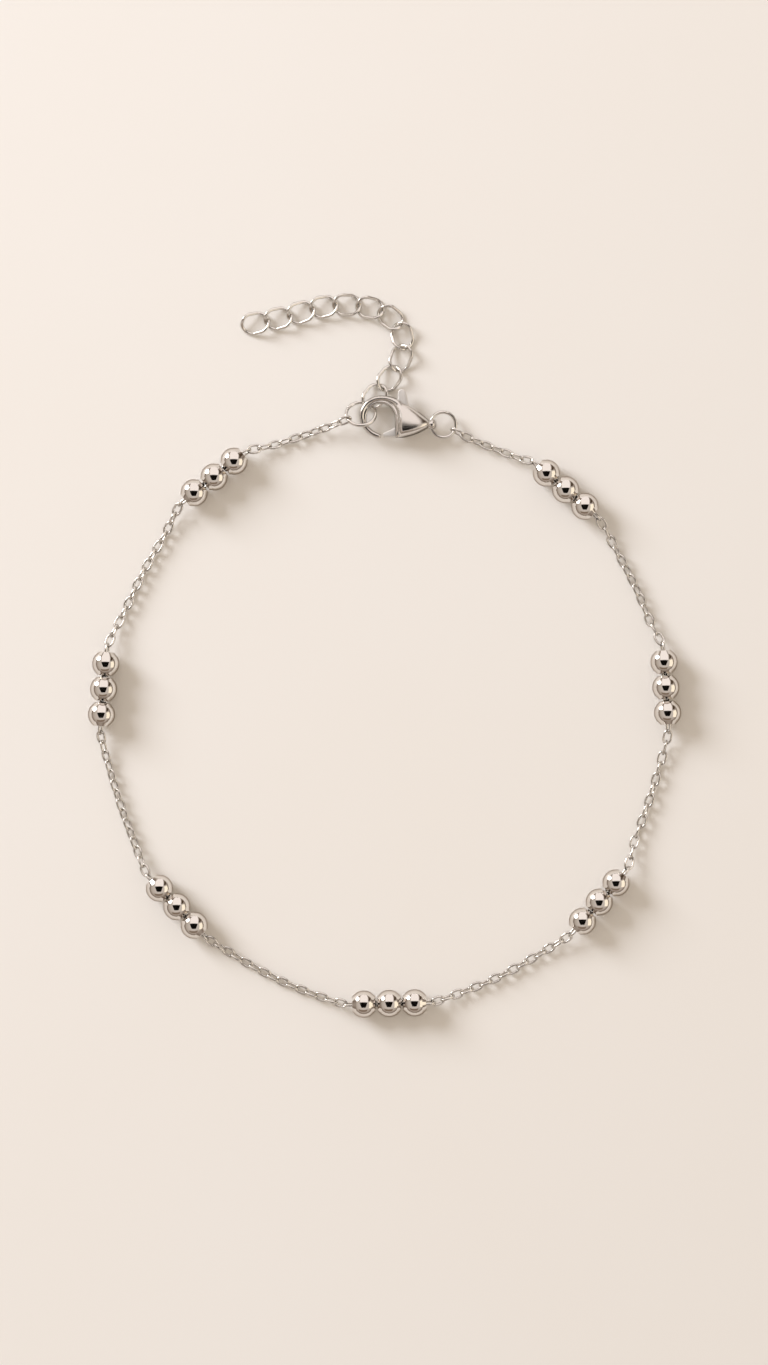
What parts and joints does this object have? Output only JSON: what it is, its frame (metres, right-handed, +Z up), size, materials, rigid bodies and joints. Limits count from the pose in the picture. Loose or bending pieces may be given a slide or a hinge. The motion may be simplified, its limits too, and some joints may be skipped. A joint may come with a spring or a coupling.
{
  "type": "beaded anklet",
  "caption": "Fine cable chain anklet with groups of round beads, a lobster clasp and an extender of twisted links, lying fastened as a closed loop.",
  "frame": {"origin": "under the middle of the whole anklet's box, on the surface that it lies on", "axes": "+X to the right and +Y to the extender's side as seen from above, +Z up"},
  "size_m": [0.0658, 0.0806, 0.003],
  "materials": {
    "bead_silver": "mirror polished",
    "chain_silver": "polished wire",
    "clasp_silver": "tumble polished casting"
  },
  "bodies": {
    "anklet": {"clasp_body": "clasp_silver", "clasp_jump_ring": "chain_silver", "extender_ring": "chain_silver", "extender_link_01": "chain_silver", "extender_link_02": "chain_silver", "extender_link_03": "chain_silver", "extender_link_04": "chain_silver", "extender_link_05": "chain_silver", "extender_link_06": "chain_silver", "extender_link_07": "chain_silver", "extender_link_08": "chain_silver", "extender_link_09": "chain_silver", "extender_link_10": "chain_silver", "extender_link_11": "chain_silver", "chain_extender_to_upper_left": "chain_silver", "chain_upper_left_to_left": "chain_silver", "chain_left_to_lower_left": "chain_silver", "chain_lower_left_to_bottom": "chain_silver", "chain_bottom_to_lower_right": "chain_silver", "chain_lower_right_to_right": "chain_silver", "chain_right_to_upper_right": "chain_silver", "chain_upper_right_to_clasp": "chain_silver", "core_upper_left": "chain_silver", "core_left": "chain_silver", "core_lower_left": "chain_silver", "core_bottom": "chain_silver", "core_lower_right": "chain_silver", "core_right": "chain_silver", "core_upper_right": "chain_silver", "bead_upper_left_1": "bead_silver", "bead_upper_left_2": "bead_silver", "bead_upper_left_3": "bead_silver", "bead_left_1": "bead_silver", "bead_left_2": "bead_silver", "bead_left_3": "bead_silver", "bead_lower_left_1": "bead_silver", "bead_lower_left_2": "bead_silver", "bead_lower_left_3": "bead_silver", "bead_bottom_1": "bead_silver", "bead_bottom_2": "bead_silver", "bead_bottom_3": "bead_silver", "bead_lower_right_1": "bead_silver", "bead_lower_right_2": "bead_silver", "bead_lower_right_3": "bead_silver", "bead_right_1": "bead_silver", "bead_right_2": "bead_silver", "bead_right_3": "bead_silver", "bead_upper_right_1": "bead_silver", "bead_upper_right_2": "bead_silver", "bead_upper_right_3": "bead_silver"},
    "lever": {"clasp_lever": "clasp_silver"}
  },
  "joints": [
    {"name": "clasp_lever_hinge", "type": "hinge", "parent": "anklet", "child": "lever", "pos_m": [0.00206, 0.02519, 0.00145], "axis": [0, 0, 1], "range_deg": [-22, 0], "stiffness_Nm_per_rad": 0.0005, "springref_deg": 20.05}
  ]
}
